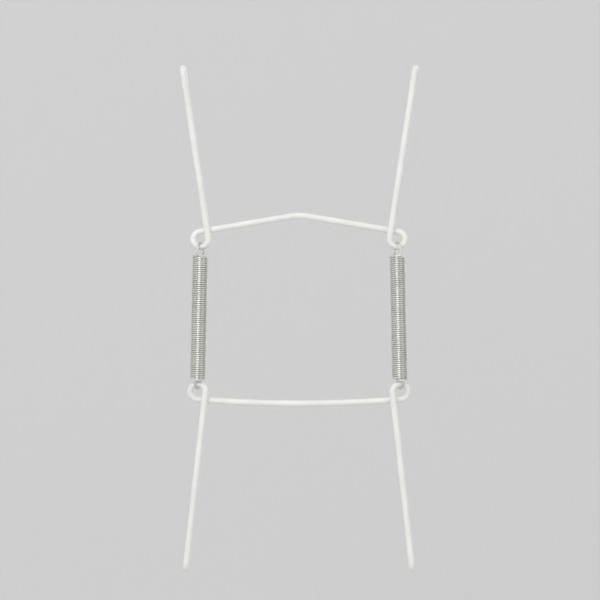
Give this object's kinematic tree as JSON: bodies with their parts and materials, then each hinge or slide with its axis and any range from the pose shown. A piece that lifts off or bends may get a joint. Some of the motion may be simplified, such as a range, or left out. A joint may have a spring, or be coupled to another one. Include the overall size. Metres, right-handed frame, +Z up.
{
  "type": "wire plate hanger",
  "caption": "Sprung wire hanger for a round plate: two bent coated wires with rim claws, pulled together by close-wound springs, hung from a nail at a peaked bar.",
  "frame": {"origin": "nail seat: the underside of the upper bar at its peak, in the middle plane of the bar's wire", "axes": "+Z up along the hanger, +X to the right as seen from the wall side, +Y toward the plate"},
  "size_m": [0.0766, 0.0109, 0.1628],
  "materials": {
    "coating": "smooth white plastic coating on steel wire, half gloss",
    "spring_steel": "bright plated spring wire"
  },
  "bodies": {
    "upper_wire": {"upper_wire": "coating"},
    "left_spring": {"left_spring": "spring_steel"},
    "right_spring": {"right_spring": "spring_steel"},
    "lower_wire": {"lower_wire": "coating"}
  },
  "joints": [
    {"name": "upper_link_swing", "type": "hinge", "parent": "upper_wire", "child": "left_spring", "pos_m": [0, -0.00146, -0.00899], "axis": [1, 0, 0], "range_deg": [-60, 60]},
    {"name": "spring_stretch", "type": "slide", "parent": "left_spring", "child": "right_spring", "axis": [0, 0, -1], "range_m": [0, 0.08], "stiffness_N_per_m": 760, "springref_m": -0.006, "deforming": ["left_spring", "right_spring"]},
    {"name": "lower_link_swing", "type": "hinge", "parent": "right_spring", "child": "lower_wire", "pos_m": [0, -0.0015, -0.05305], "axis": [1, 0, 0], "range_deg": [-60, 60]}
  ]
}
